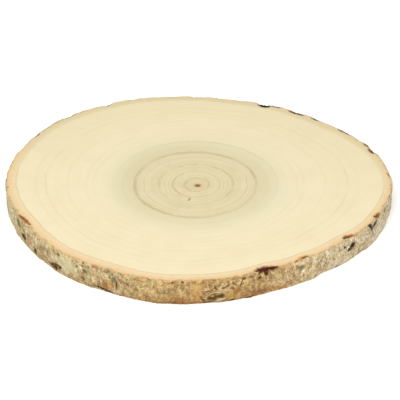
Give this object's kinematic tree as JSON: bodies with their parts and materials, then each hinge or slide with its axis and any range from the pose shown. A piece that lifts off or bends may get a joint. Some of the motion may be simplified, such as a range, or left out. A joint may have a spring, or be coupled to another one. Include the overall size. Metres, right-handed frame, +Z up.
{
  "type": "wood slice",
  "caption": "Flat oval round sawn across a tree trunk, sanded on both faces, with growth rings, a greyish heart and thin rough bark left on round the edge.",
  "frame": {"origin": "middle of the slice's outline, on its lower sawn face, which it lies on", "axes": "+Z up out of the upper sawn face along the trunk's grain, +X along the slice's longest way across, -Y towards the side with the knot and the split"},
  "size_m": [0.3502, 0.3088, 0.024],
  "materials": {
    "slice_wood": "pale cream end grain, sanded and unvarnished, with a peach bast ring and rough grey-tan bark round the edge"
  },
  "bodies": {
    "root": {"wood_slice": "slice_wood"}
  },
  "joints": []
}
